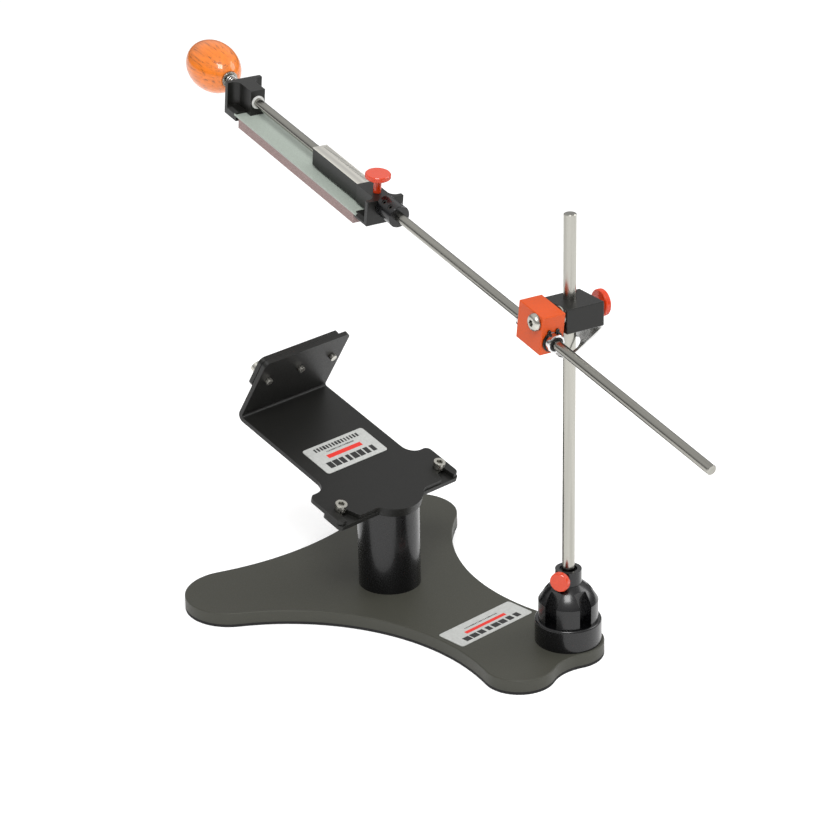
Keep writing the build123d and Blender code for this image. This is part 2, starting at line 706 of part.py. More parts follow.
with BuildPart() as rod_housing:
    with BuildSketch(rod_side(housing_thickness / 2)):
        with Locations((housing_middle, rod_below_centre)):
            Rectangle(housing_length, housing_height)
    extrude(amount=housing_thickness)
    chamfer(rod_housing.edges(), housing_edge)
    with Locations(rod_section(far_face)):
        Cylinder(bearing_radius + running, housing_length, align=BELOW, mode=Mode.SUBTRACT)
    with Locations(bolt_seat):
        Cylinder(m8_button[0] + running, housing_thickness + 2 * seat_gap, align=BELOW,
                 mode=Mode.SUBTRACT)
rod_housing.part.label = "rod_housing"
export_step(rod_housing.part, "parts/rod_housing.step")

bearing_near = housing_middle - bearing_length / 2
bearing_far = housing_middle + bearing_length / 2
clip_stations = (near_face - seat_gap - circlip_thickness, far_face + seat_gap)
sleeve_bore = bearing_radius - bearing_wall

with BuildPart() as bearing_sleeve:
    with BuildSketch(rod_section(bearing_near)):
        Circle(bearing_radius)
        Circle(sleeve_bore, mode=Mode.SUBTRACT)
    extrude(amount=bearing_length)
    chamfer(bearing_sleeve.edges().filter_by(GeomType.CIRCLE).sort_by(SortBy.RADIUS)[-2:],
            sleeve_edge)
    for station in clip_stations:
        with BuildSketch(rod_section(station)):
            Circle(bearing_radius + 1)
            Circle(bearing_radius - circlip_groove, mode=Mode.SUBTRACT)
        extrude(amount=circlip_thickness, mode=Mode.SUBTRACT)
bearing_sleeve.part.label = "bearing_sleeve"
export_step(bearing_sleeve.part, "parts/bearing_sleeve.step")

with BuildPart() as bearing_cage:
    with BuildSketch(rod_section(bearing_near + seal_thickness)):
        Circle(sleeve_bore)
        Circle(rod_radius + running, mode=Mode.SUBTRACT)
    extrude(amount=bearing_length - 2 * seal_thickness)
bearing_cage.part.label = "bearing_cage"
export_step(bearing_cage.part, "parts/bearing_cage.step")

with BuildPart() as bearing_seals:
    for station in (bearing_near, bearing_far - seal_thickness):
        with BuildSketch(rod_section(station)):
            Circle(sleeve_bore)
            Circle(rod_radius + running, mode=Mode.SUBTRACT)
        extrude(amount=seal_thickness)
bearing_seals.part.label = "bearing_seals"
export_step(bearing_seals.part, "parts/bearing_seals.step")

with BuildPart() as circlips:
    for station in clip_stations:
        with BuildSketch(rod_section(station)):
            Circle(circlip_radius)
            with Locations((0, bearing_radius)):
                Rectangle(circlip_gap, bearing_radius, mode=Mode.SUBTRACT)
            with PolarLocations(circlip_lug_reach, 2, start_angle=90 - lug_angle,
                                angular_range=2 * lug_angle, endpoint=True):
                Circle(circlip_lug_radius)
                Circle(circlip_hole_radius, mode=Mode.SUBTRACT)
            Circle(bearing_radius - circlip_groove, mode=Mode.SUBTRACT)
        extrude(amount=circlip_thickness)
circlips.part.label = "circlips"
export_step(circlips.part, "parts/circlips.step")

# ---- Guide rod, stop collar and set screws ------------------------------------------------------------

near_tip = jaw_face - near_jaw_length
stone_near = near_tip - stone_near_gap
stone_far = stone_near - stone_length
far_tip = stone_far - stone_far_gap
far_face_outer = far_tip - far_jaw_length
ferrule_face = far_face_outer - spring_length
knob_start = ferrule_face - ferrule_flange
rod_knob_end = knob_start - ferrule_depth

with BuildPart() as guide_rod:
    with BuildSketch(rod_section(rod_knob_end)):
        Circle(rod_radius)
    extrude(amount=rod_free_end - rod_knob_end)
    chamfer(guide_rod.edges().filter_by(GeomType.CIRCLE), rod_edge)
guide_rod.part.label = "guide_rod"
export_step(guide_rod.part, "parts/guide_rod.step")

set_screw_dir = side * set_screw_side + rod_up * set_screw_up
set_screw_reach = collar_radius - set_screw_recess
set_screw_seats = [
    Plane(origin=rod_point(station) + set_screw_dir * set_screw_reach, z_dir=set_screw_dir)
    for station in set_screw_stations
]

with BuildPart() as stop_collar:
    with BuildSketch(rod_section(jaw_face)):
        Circle(collar_radius)
        Circle(rod_radius + running, mode=Mode.SUBTRACT)
    extrude(amount=collar_near - jaw_face)
    chamfer(stop_collar.edges().filter_by(GeomType.CIRCLE).sort_by(SortBy.RADIUS)[-2:],
            collar_edge)
    for seat in set_screw_seats:
        with Locations(seat.offset(collar_edge)):
            Cylinder(set_screw_radius + thread_gap, set_screw_reach + collar_edge, align=BELOW,
                     mode=Mode.SUBTRACT)
stop_collar.part.label = "stop_collar"
export_step(stop_collar.part, "parts/stop_collar.step")

with BuildPart() as collar_set_screws:
    for seat in set_screw_seats:
        with Locations(seat):
            Cylinder(set_screw_radius, set_screw_reach - rod_radius - seat_gap, align=BELOW)
        with BuildSketch(seat):
            RegularPolygon(set_screw_across_flats / math.sqrt(3), 6)
        extrude(amount=-(set_screw_reach - rod_radius) / 2, mode=Mode.SUBTRACT)
collar_set_screws.part.label = "collar_set_screws"
export_step(collar_set_screws.part, "parts/collar_set_screws.step")

# ---- Stone, blank and jaws ----------------------------------------------------------------------------

blank_middle = blank_top - blank_thickness / 2
groove_depth = blank_lip + seat_gap

with BuildPart() as whetstone:
    with BuildSketch(rod_plan(blank_top - blank_thickness)):
        with Locations(((stone_near + stone_far) / 2, 0)):
            Rectangle(stone_length, stone_width)
    extrude(amount=-stone_thickness)
whetstone.part.label = "whetstone"
export_step(whetstone.part, "parts/whetstone.step")

with BuildPart() as stone_blank:
    with BuildSketch(rod_plan(blank_top)):
        with Locations(((near_tip + far_tip) / 2, 0)):
            Rectangle(near_tip - far_tip + 2 * blank_lip, stone_width)
    extrude(amount=-blank_thickness)
stone_blank.part.label = "stone_blank"
export_step(stone_blank.part, "parts/stone_blank.step")


def jaw_slab(face, inward, flange, body_half_width, body_length, bottom, top):
    """Wide flange at FACE with a narrow body standing on its inner side."""
    inner = face + inward * flange
    with BuildSketch(rod_plan(bottom)) as outline:
        with Locations(((face + inner) / 2, 0)):
            Rectangle(flange, 2 * jaw_half_width)
        with Locations((face + inward * body_length / 2, 0)):
            Rectangle(body_length, 2 * body_half_width)
        inside = outline.vertices().filter_by(
            lambda v: abs(v.X - inner) < 0.01 and abs(abs(v.Y) - body_half_width) < 0.01)
        fillet(inside, jaw_blend)
    extrude(outline.sketch, amount=top - bottom)


def jaw_foot(face, inward, length, bottom, top):
    """Foot across a jaw's whole width, with a groove in its tip for the blank's end."""
    tip = face + inward * length
    with BuildSketch(rod_section(min(face, tip))) as outline:
        with Locations((0, (bottom + top) / 2)):
            Rectangle(2 * jaw_half_width, top - bottom)
        chamfer(outline.vertices().group_by(Axis.Y)[-1], jaw_foot_chamfer)
    extrude(outline.sketch, amount=length)
    with BuildSketch(rod_section(tip)) as groove:
        with Locations((0, blank_middle)):
            Rectangle(2 * jaw_half_width, blank_thickness + 2 * seat_gap)
    extrude(groove.sketch, amount=-inward * groove_depth, mode=Mode.SUBTRACT)


near_body_end = jaw_face - near_body_length
holder_thumb_seat = Plane(origin=rod_point(holder_screw_station, 0, near_jaw_top), x_dir=rod_dir,
                          z_dir=rod_up)

with BuildPart() as near_jaw:
    jaw_slab(jaw_face, -1, near_flange, near_body_half_width, near_body_length,
             near_jaw_bottom, near_jaw_top)
    with BuildSketch(rod_section(near_body_end)):
        with Locations((0, near_jaw_bottom)):
            Rectangle(2 * jaw_half_width, 2 * (bar_bottom - near_jaw_bottom))
    extrude(amount=near_body_length - near_jaw_length, mode=Mode.SUBTRACT)
    with BuildSketch(rod_section(bar_end)):
        with Locations((0, (near_jaw_top - gauge_plate_thickness + bar_bottom) / 2)):
            Rectangle(2 * bar_half_width, near_jaw_top - gauge_plate_thickness - bar_bottom)
    extrude(amount=near_body_end - bar_end)
    jaw_foot(jaw_face, -1, near_jaw_length, near_jaw_bottom, near_foot_top)
    with Locations(rod_section(jaw_face)):
        Cylinder(rod_radius + running, jaw_face - bar_end, align=BELOW, mode=Mode.SUBTRACT)
    with Locations(holder_thumb_seat):
        Cylinder(holder_thumb[0] + thread_gap, near_jaw_top, align=BELOW, mode=Mode.SUBTRACT)
near_jaw.part.label = "near_jaw"
export_step(near_jaw.part, "parts/near_jaw.step")

with BuildPart() as gauge_plate:
    with BuildSketch(rod_plan(near_jaw_top)):
        with Locations(((bar_end + near_body_end) / 2, 0)):
            Rectangle(near_body_end - bar_end, 2 * bar_half_width)
    extrude(amount=-gauge_plate_thickness)
gauge_plate.part.label = "gauge_plate"
export_step(gauge_plate.part, "parts/gauge_plate.step")

with BuildPart() as holder_thumbscrew:
    thumb_screw(holder_thumb_seat, holder_thumb_neck, near_jaw_top - rod_radius - seat_gap,
                holder_thumb)
holder_thumbscrew.part.label = "holder_thumbscrew"
export_step(holder_thumbscrew.part, "parts/holder_thumbscrew.step")

far_body_end = far_face_outer + far_body_length
with BuildPart() as far_jaw:
    jaw_slab(far_face_outer, 1, far_flange, far_body_half_width, far_body_length,
             far_jaw_bottom, far_jaw_top)
    with BuildSketch(rod_section(far_tip)):
        with Locations((0, far_jaw_bottom)):
            Rectangle(2 * jaw_half_width, 2 * (far_body_bottom - far_jaw_bottom))
    extrude(amount=far_body_end - far_tip, mode=Mode.SUBTRACT)
    jaw_foot(far_face_outer, 1, far_jaw_length, far_jaw_bottom, far_foot_top)
    with Locations(rod_section(far_body_end)):
        Cylinder(bush_radius, far_body_length, align=BELOW, mode=Mode.SUBTRACT)
far_jaw.part.label = "far_jaw"
export_step(far_jaw.part, "parts/far_jaw.step")

with BuildPart() as far_jaw_bush:
    with BuildSketch(rod_section(far_face_outer)):
        Circle(bush_radius)
    extrude(amount=far_body_length)
    with BuildSketch(rod_section(far_body_end)):
        Circle(bush_flange_radius)
    extrude(amount=bush_flange)
    with Locations(rod_section(far_face_outer)):
        Cylinder(rod_radius + running, far_body_length + bush_flange, align=ABOVE,
                 mode=Mode.SUBTRACT)
far_jaw_bush.part.label = "far_jaw_bush"
export_step(far_jaw_bush.part, "parts/far_jaw_bush.step")

# ---- Spring, knob and ferrule ---------------------------------------------------------------------------

coil_length = spring_length - 2 * (spring_wire + seat_gap)
spring_radius = rod_radius + spring_gap + spring_wire
with BuildPart() as jaw_spring:
    with BuildLine():
        coil = Helix(spring_pitch, coil_length, spring_radius,
                     center=rod_point(far_face_outer - spring_wire - seat_gap),
                     direction=-rod_dir)
    with BuildSketch(Plane(origin=coil @ 0, z_dir=coil % 0)):
        Circle(spring_wire)
    sweep(is_frenet=True)
jaw_spring.part.label = "jaw_spring"
export_step(jaw_spring.part, "parts/jaw_spring.step")

# The knob is an ellipsoid, cut flat where its radius falls to that of the neck
neck_share = math.sqrt(1 - (knob_neck_radius / knob_radius) ** 2)
knob_half = knob_length / (1 + neck_share)
knob_centre = knob_start - neck_share * knob_half

with BuildPart() as knob:
    with BuildSketch(rod_side(0)):
        with Locations((knob_centre, 0)):
            Ellipse(knob_half, knob_radius)
            Rectangle(2 * knob_length, knob_length, align=(Align.CENTER, Align.MAX),
                      mode=Mode.SUBTRACT)
        with Locations((knob_start, 0)):
            Rectangle(knob_length, 2 * knob_length, align=(Align.MIN, Align.CENTER),
                      mode=Mode.SUBTRACT)
    revolve(axis=Axis(rod_origin, rod_dir))
    with Locations(rod_section(knob_start)):
        Cylinder(ferrule_radius, ferrule_depth, align=BELOW, mode=Mode.SUBTRACT)
knob.part.label = "knob"
export_step(knob.part, "parts/knob.step")

with BuildPart() as knob_ferrule:
    with Locations(rod_section(knob_start)):
        Cylinder(ferrule_radius, ferrule_depth, align=BELOW)
        Cylinder(ferrule_flange_radius, ferrule_flange, align=ABOVE)
        Cylinder(rod_radius, 2 * ferrule_depth, mode=Mode.SUBTRACT)
knob_ferrule.part.label = "knob_ferrule"
export_step(knob_ferrule.part, "parts/knob_ferrule.step")
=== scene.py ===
"""Looks for a rod-guided honing guide: finishes, knurls, printing, engraved marks and a studio."""

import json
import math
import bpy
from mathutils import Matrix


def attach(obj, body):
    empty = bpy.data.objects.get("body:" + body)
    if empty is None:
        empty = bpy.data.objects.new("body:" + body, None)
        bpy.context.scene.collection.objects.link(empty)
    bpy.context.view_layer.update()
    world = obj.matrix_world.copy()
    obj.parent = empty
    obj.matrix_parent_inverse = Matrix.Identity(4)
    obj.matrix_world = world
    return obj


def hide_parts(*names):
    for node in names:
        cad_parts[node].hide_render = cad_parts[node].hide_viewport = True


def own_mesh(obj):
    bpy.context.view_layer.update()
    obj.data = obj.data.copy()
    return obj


bl_info = {
    "name": "Honing Guide",
    "version": (1, 0, 0),
    "blender": (4, 5, 0),
    "location": "3D View > Sidebar > Honing Guide",
    "description": "Finishes a rod-guided honing guide and sets up a small studio for it",
    "category": "Object",
}

import bmesh
import bpy
from bpy.props import FloatProperty, FloatVectorProperty, IntProperty, PointerProperty
from mathutils import Matrix, Vector

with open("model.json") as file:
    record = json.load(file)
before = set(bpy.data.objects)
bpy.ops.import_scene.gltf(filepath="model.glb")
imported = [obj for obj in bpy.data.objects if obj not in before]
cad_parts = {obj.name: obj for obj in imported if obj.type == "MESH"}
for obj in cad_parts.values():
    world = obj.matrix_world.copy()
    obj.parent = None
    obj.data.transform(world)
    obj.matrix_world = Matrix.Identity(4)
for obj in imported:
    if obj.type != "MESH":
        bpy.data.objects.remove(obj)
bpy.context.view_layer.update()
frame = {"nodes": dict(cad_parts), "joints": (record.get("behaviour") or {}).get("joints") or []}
JOINTS = {joint["name"]: joint for joint in frame["joints"]}
MM = 0.001
BRACKET_SLOPE = math.radians(17.4)
SPRING_STEEL = (0.62, 0.62, 0.61)
INK_ROUGHNESS = (0.4, 0.5)
FLOOR_REACH = 6.0
AIM = Vector((0.0, -0.03, 0.15))
CAMERA_PLACE = (-1.3705, -1.4591, 1.0383)
CAMERA_RIGHT = Vector((0.71934, -0.69466, 0))
CAMERA_AHEAD = Vector((0.63596, 0.65855, -0.40240))
CAMERA_UP = Vector((0.27953, 0.28946, 0.9155))
CAMERA_ROLL = math.radians(1.127)
SENSOR_WIDTH = 36.0


def joint_line(name):
    """A point on a joint's axis and the axis's direction."""
    joint = JOINTS[name]
    return Vector(joint.get("pos_m", (0, 0, 0))), Vector(joint["axis"]).normalized()


ROD_POINT, ROD_ALONG = joint_line("bearing_turn")
ROD_UP = joint_line("holder_thumbscrew_turn")[1]
ROD_ACROSS = joint_line("swivel_thumbscrew_turn")[1]


def axes_matrix(x_axis, y_axis, z_axis, place=(0, 0, 0)):
    """Transform that puts X, Y and Z along the given axes, with its origin at PLACE."""
    turn = Matrix((x_axis, y_axis, z_axis)).transposed().to_4x4()
    return Matrix.Translation(Vector(place)) @ turn


def axis_matrix(direction, place=(0, 0, 0)):
    """Transform that puts Z along a direction."""
    return Matrix.Translation(Vector(place)) @ direction.to_track_quat("Z", "Y").to_matrix().to_4x4()


def span(node, direction, start=(0, 0, 0)):
    """Lowest and highest reach of a CAD node along a direction from a point."""
    reach = [(v.co - Vector(start)).dot(direction) for v in frame["nodes"][node].data.vertices]
    return min(reach), max(reach)


# ---- Settings ---------------------------------------------------------------------------


class HoningFinishes(bpy.types.PropertyGroup):
    """Colours of the guide's finishes"""

    powder: FloatVectorProperty(name="Powder coat", description="Base plate's textured coat",
                                subtype="COLOR", size=3, default=(0.050, 0.050, 0.039))
    gloss: FloatVectorProperty(name="Gloss black", description="Column, cup and stop collar",
                               subtype="COLOR", size=3, default=(0.003, 0.003, 0.0035))
    satin: FloatVectorProperty(name="Satin black", description="Bracket, block and jaws",
                               subtype="COLOR", size=3, default=(0.0085, 0.0085, 0.0075))
    orange: FloatVectorProperty(name="Orange", description="Rod housing's anodised colour",
                                subtype="COLOR", size=3, default=(0.62, 0.072, 0.003))
    thumb: FloatVectorProperty(name="Thumbscrew red", description="Lacquer on the thumbscrews",
                               subtype="COLOR", size=3, default=(0.66, 0.044, 0.004))
    wood: FloatVectorProperty(name="Knob wood", description="Lacquered wood of the knob",
                              subtype="COLOR", size=3, default=(0.82, 0.190, 0.0))
    steel: FloatVectorProperty(name="Steel", description="Bare steel of the rods and screws",
                               subtype="COLOR", size=3, default=(0.40, 0.392, 0.355))
    stone: FloatVectorProperty(name="Stone", description="Whetstone's abrasive",
                               subtype="COLOR", size=3, default=(0.30, 0.215, 0.205))


class HoningDetails(bpy.types.PropertyGroup):
    """Sizes of the guide's small details"""

    knurl_pitch: FloatProperty(name="Knurl pitch", description="Distance between rim ridges",
                               subtype="DISTANCE", unit="LENGTH", default=1.05 * MM)
    knurl_size: FloatProperty(name="Knurl size", description="Side of each square ridge",
                              subtype="DISTANCE", unit="LENGTH", default=0.55 * MM)
    mark_count: IntProperty(name="Gauge marks", description="Lines engraved on the gauge plate",
                            default=31, min=2)
    print_height: FloatProperty(name="Print height", description="Thickness of printed ink",
                                subtype="DISTANCE", unit="LENGTH", default=0.05 * MM)


class HoningStudio(bpy.types.PropertyGroup):
    """Camera and lights"""

    lens: FloatProperty(name="Lens", description="Camera's focal length in millimetres",
                        default=115.0)
    key: FloatProperty(name="Key light", description="Power of the large light", unit="POWER",
                       default=36.0)
    fill: FloatProperty(name="Fill light", description="Power of the side light", unit="POWER",
                        default=14.0)
    glow: FloatProperty(name="Floor glow", description="Light that the pale floor gives off",
                        default=0.25)
    sky: FloatProperty(name="Sky", description="Brightness of the surroundings", default=0.8)


# ---- Material building --------------------------------------------------------------------


def new_material(name, colour, metallic=0.0, roughness=0.5, coat=0.0, coat_roughness=0.1):
    """A principled material whose uniform values sit on the shader's own sockets."""
    material = bpy.data.materials.new(name)
    material.use_nodes = True
    shader = material.node_tree.nodes["Principled BSDF"]
    shader.inputs["Base Color"].default_value = (*colour, 1)
    shader.inputs["Metallic"].default_value = metallic
    shader.inputs["Roughness"].default_value = roughness
    shader.inputs["Coat Weight"].default_value = coat
    shader.inputs["Coat Roughness"].default_value = coat_roughness
    return material


def pattern(material, scale, stretch=(1, 1, 1), turn=None, detail=3.0, roughness=0.55):
    """Noise in object coordinates, stretched along the axes of TURN."""
    nodes, links = material.node_tree.nodes, material.node_tree.links
    place = nodes.new("ShaderNodeTexCoord")
    mapping = nodes.new("ShaderNodeMapping")
    mapping.vector_type = "TEXTURE"
    mapping.inputs["Scale"].default_value = stretch
    if turn is not None:
        mapping.inputs["Rotation"].default_value = turn.to_euler()
    noise = nodes.new("ShaderNodeTexNoise")
    noise.inputs["Scale"].default_value = scale
    noise.inputs["Detail"].default_value = detail
    noise.inputs["Roughness"].default_value = roughness
    links.new(place.outputs["Object"], mapping.inputs["Vector"])
    links.new(mapping.outputs["Vector"], noise.inputs["Vector"])
    return noise.outputs["Fac"]


def vary_roughness(material, source, low, high):
    """Roughness between LOW and HIGH, following a pattern."""
    nodes, links = material.node_tree.nodes, material.node_tree.links
    remap = nodes.new("ShaderNodeMapRange")
    remap.inputs["From Min"].default_value = 0.3
    remap.inputs["From Max"].default_value = 0.7
    remap.inputs["To Min"].default_value = low
    remap.inputs["To Max"].default_value = high
    links.new(source, remap.inputs["Value"])
    links.new(remap.outputs["Result"], nodes["Principled BSDF"].inputs["Roughness"])


def vary_colour(material, source, stops):
    """Colour from (place, colour) stops, following a pattern."""
    nodes, links = material.node_tree.nodes, material.node_tree.links
    ramp = nodes.new("ShaderNodeValToRGB")
    elements = ramp.color_ramp.elements
    while len(elements) < len(stops):
        elements.new(0.5)
    for element, (place, colour) in zip(elements, stops):
        element.position = place
        element.color = (*colour, 1)
    links.new(source, ramp.inputs["Fac"])
    links.new(ramp.outputs["Color"], nodes["Principled BSDF"].inputs["Base Color"])


def emboss(material, source, height, strength=0.6, edge=0.0):
    """Bump that follows a pattern, over edges softened by EDGE."""
    nodes, links = material.node_tree.nodes, material.node_tree.links
    bump = nodes.new("ShaderNodeBump")
    bump.inputs["Distance"].default_value = height
    bump.inputs["Strength"].default_value = strength
    links.new(source, bump.inputs["Height"])
    if edge:
        soften = nodes.new("ShaderNodeBevel")
        soften.samples = 4
        soften.inputs["Radius"].default_value = edge
        links.new(soften.outputs["Normal"], bump.inputs["Normal"])
    links.new(bump.outputs["Normal"], nodes["Principled BSDF"].inputs["Normal"])


def shade(colour, factor):
    """A lighter or darker version of a colour."""
    return tuple(min(1.0, part * factor) for part in colour)


def coated(name, colour, low, high, grain, height, coat=0.0, edge=0.35 * MM, speck=1.5):
    """Painted or anodised surface with a fine grain and soft edges."""
    material = new_material(name, colour, roughness=low, coat=coat)
    material.node_tree.nodes["Principled BSDF"].inputs["Specular IOR Level"].default_value = 0.35
    fine = pattern(material, grain)
    vary_roughness(material, fine, low, high)
    vary_colour(material, fine, [(0.30, shade(colour, 0.85)), (0.68, colour),
                                 (0.78, shade(colour, speck))])
    emboss(material, fine, height, edge=edge)
    return material


def paint_hollow_shade(material, reach):
    """Paints shade into the base colour of sockets and corners narrower than REACH, where light
    doesn't get in.
    """
    nodes, links = material.node_tree.nodes, material.node_tree.links
    base = nodes["Principled BSDF"].inputs["Base Color"]
    colour = base.links[0].from_socket
    shadow = nodes.new("ShaderNodeAmbientOcclusion")
    shadow.samples = 8
    shadow.inputs["Distance"].default_value = reach
    deepen = nodes.new("ShaderNodeMath")
    deepen.operation = "POWER"
    deepen.inputs[1].default_value = 2.0
    mix = nodes.new("ShaderNodeMix")
    mix.data_type = "RGBA"
    mix.blend_type = "MULTIPLY"
    mix.inputs["Factor"].default_value = 1.0
    links.new(shadow.outputs["AO"], deepen.inputs[0])
    links.new(colour, mix.inputs["A"])
    links.new(deepen.outputs[0], mix.inputs["B"])
    links.new(mix.outputs["Result"], base)


def turned_steel(name, colour, axis, low=0.14, high=0.30, scale=260.0):
    """Bare steel with faint drawing lines along an axis."""
    material = new_material(name, colour, metallic=1.0, roughness=low)
    lines = pattern(material, scale, stretch=(1, 1, 40), turn=axis_matrix(axis).to_3x3())
    vary_roughness(material, lines, low, high)
    vary_colour(material, lines, [(0.3, shade(colour, 0.82)), (0.7, shade(colour, 1.08))])
    emboss(material, lines, 0.01 * MM, strength=0.25)
    return material


def lacquered_wood(colour):
    """Orange lacquer over straight grain with short dark pores."""
    material = new_material("knob_wood", colour, roughness=0.45, coat=0.8, coat_roughness=0.03)
    turn = axis_matrix(ROD_ALONG).to_3x3()
    grain = pattern(material, 420.0, stretch=(1, 1, 14), turn=turn, detail=5.0, roughness=0.6)
    vary_colour(material, grain, [(0.33, shade(colour, 0.38)), (0.41, shade(colour, 0.85)),
                                  (0.55, colour), (0.78, shade(colour, 1.25))])
    emboss(material, grain, 0.02 * MM, strength=0.2)
    return material


def abrasive(colour):
    """Bonded grit: fine light and dark grains with a slight bump."""
    material = new_material("stone_grit", colour, roughness=0.85)
    grit = pattern(material, 1500.0, detail=2.0)
    vary_colour(material, grit, [(0.35, shade(colour, 0.7)), (0.5, colour),
                                 (0.68, shade(colour, 1.35))])
    emboss(material, grit, 0.05 * MM, strength=0.7)
    return material


def dress(material, *nodes):
    """Gives a material to CAD nodes."""
    for node in nodes:
        slots = frame["nodes"][node].data.materials
        slots.clear()
        slots.append(material)


# ---- Geometry Nodes ---------------------------------------------------------------------------


def new_tree(name, inputs):
    """Geometry tree with named inputs given as (name, socket type) pairs."""
    tree = bpy.data.node_groups.new(name, "GeometryNodeTree")
    for label, kind in inputs:
        tree.interface.new_socket(label, in_out="INPUT", socket_type=kind)
    tree.interface.new_socket("Geometry", in_out="OUTPUT", socket_type="NodeSocketGeometry")
    return tree, tree.nodes.new("NodeGroupInput"), tree.nodes.new("NodeGroupOutput")


def end_tree(tree, source, start, end):
    """Ends a tree in real geometry with its material."""
    real = tree.nodes.new("GeometryNodeRealizeInstances")
    paint = tree.nodes.new("GeometryNodeSetMaterial")
    tree.links.new(source, real.inputs[0])
    tree.links.new(real.outputs[0], paint.inputs["Geometry"])
    tree.links.new(start.outputs["Material"], paint.inputs["Material"])
    tree.links.new(paint.outputs[0], end.inputs[0])
    return tree


def rim_tree():
    """Ridges that stand round a disc's rim."""
    tree, start, end = new_tree("rim_ridges", [
        ("Ridges", "NodeSocketInt"), ("Radius", "NodeSocketFloat"),
        ("Block", "NodeSocketVector"), ("Material", "NodeSocketMaterial")])
    nodes, links = tree.nodes, tree.links
    ring = nodes.new("GeometryNodeMeshCircle")
    block = nodes.new("GeometryNodeMeshCube")
    place = nodes.new("GeometryNodeInputPosition")
    align = nodes.new("FunctionNodeAlignRotationToVector")
    align.axis = "X"
    quarter = nodes.new("FunctionNodeRotateRotation")
    quarter.rotation_space = "LOCAL"
    quarter.inputs["Rotate By"].default_value = (0, 0, math.radians(45))
    stand = nodes.new("GeometryNodeInstanceOnPoints")
    links.new(start.outputs["Ridges"], ring.inputs["Vertices"])
    links.new(start.outputs["Radius"], ring.inputs["Radius"])
    links.new(start.outputs["Block"], block.inputs["Size"])
    links.new(place.outputs[0], align.inputs["Vector"])
    links.new(align.outputs[0], quarter.inputs["Rotation"])
    links.new(ring.outputs["Mesh"], stand.inputs["Points"])
    links.new(block.outputs["Mesh"], stand.inputs["Instance"])
    links.new(quarter.outputs[0], stand.inputs["Rotation"])
    return end_tree(tree, stand.outputs[0], start, end)


def row_tree():
    """Blocks in a straight row, with lengths that vary by a seed."""
    tree, start, end = new_tree("block_row", [
        ("Count", "NodeSocketInt"), ("Start", "NodeSocketVector"), ("Step", "NodeSocketVector"),
        ("Block", "NodeSocketVector"), ("Least", "NodeSocketVector"),
        ("Most", "NodeSocketVector"), ("Seed", "NodeSocketInt"),
        ("Material", "NodeSocketMaterial")])
    nodes, links = tree.nodes, tree.links
    line = nodes.new("GeometryNodeMeshLine")
    block = nodes.new("GeometryNodeMeshCube")
    chance = nodes.new("FunctionNodeRandomValue")
    chance.data_type = "FLOAT_VECTOR"
    stand = nodes.new("GeometryNodeInstanceOnPoints")
    links.new(start.outputs["Count"], line.inputs["Count"])
    links.new(start.outputs["Start"], line.inputs["Start Location"])
    links.new(start.outputs["Step"], line.inputs["Offset"])
    links.new(start.outputs["Block"], block.inputs["Size"])
    links.new(start.outputs["Least"], chance.inputs["Min"])
    links.new(start.outputs["Most"], chance.inputs["Max"])
    links.new(start.outputs["Seed"], chance.inputs["Seed"])
    links.new(line.outputs["Mesh"], stand.inputs["Points"])
    links.new(block.outputs["Mesh"], stand.inputs["Instance"])
    links.new(chance.outputs["Value"], stand.inputs["Scale"])
    return end_tree(tree, stand.outputs[0], start, end)


def grow(name, tree, values, place, body):
    """Runs a tree, keeps its result as a plain mesh at PLACE and rides it on a body."""
    seedling = bpy.data.objects.new(name + "_seedling", bpy.data.meshes.new(name + "_seedling"))
    bpy.context.scene.collection.objects.link(seedling)
    growth = seedling.modifiers.new("growth", "NODES")
    growth.node_group = tree
    for socket in tree.interface.items_tree:
        if socket.in_out == "INPUT" and socket.name in values:
            growth[socket.identifier] = values[socket.name]
    bpy.context.view_layer.update()
    result = seedling.evaluated_get(bpy.context.evaluated_depsgraph_get())
    mesh = bpy.data.meshes.new_from_object(result)
    mesh.name = name
    mesh.transform(place)
    bpy.data.objects.remove(seedling)
    if not mesh.polygons:
        raise RuntimeError(f"{name} came out empty")
    piece = bpy.data.objects.new(name, mesh)
    bpy.context.scene.collection.objects.link(piece)
    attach(piece, body)
    return piece


def holder_spring(material):
    """The far jaw's spring as a smooth-shaded copy of the CAD spring, riding on the guide rod."""
    mesh = frame["nodes"]["jaw_spring"].data.copy()
    mesh.name = "holder_spring"
    wire = bmesh.new()
    wire.from_mesh(mesh)
    bmesh.ops.remove_doubles(wire, verts=wire.verts, dist=0.001 * MM)
    wire.to_mesh(mesh)
    wire.free()
    mesh.shade_smooth()
    mesh.materials.clear()
    mesh.materials.append(material)
    spring = bpy.data.objects.new("holder_spring", mesh)
    bpy.context.scene.collection.objects.link(spring)
    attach(spring, "guide_rod")
    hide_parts("jaw_spring")
    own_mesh(spring)


# ---- Operators ------------------------------------------------------------------------------------


